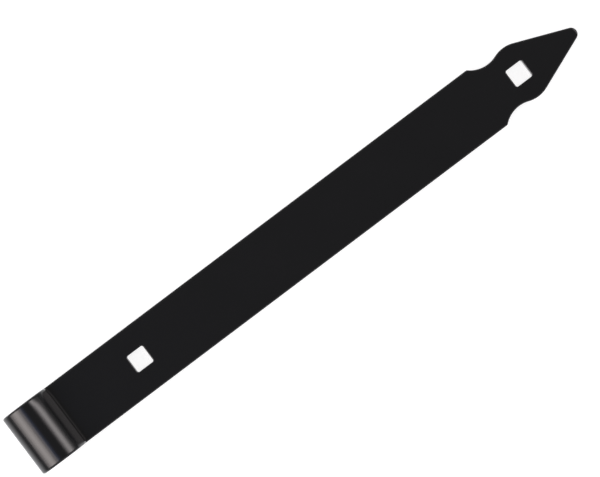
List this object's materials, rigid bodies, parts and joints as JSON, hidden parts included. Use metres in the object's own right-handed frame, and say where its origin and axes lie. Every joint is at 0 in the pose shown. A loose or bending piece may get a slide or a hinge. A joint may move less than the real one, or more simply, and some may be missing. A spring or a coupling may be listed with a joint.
{
  "type": "band hinge strap",
  "caption": "Flat steel hinge strap with a rolled eye at one end, square bolt holes and a spear tip; it hangs a gate or shutter on a hook pin.",
  "frame": {"origin": "centre of the rolled eye's bore, midway across the bar", "axes": "+X along the bar to the spear tip, +Y along the bore, +Z out of the front face; the back face points down"},
  "size_m": [0.3022, 0.03, 0.0232],
  "materials": {
    "black_coat": "semi-gloss black powder coat on steel"
  },
  "bodies": {
    "root": {"strap": "black_coat"}
  },
  "joints": []
}
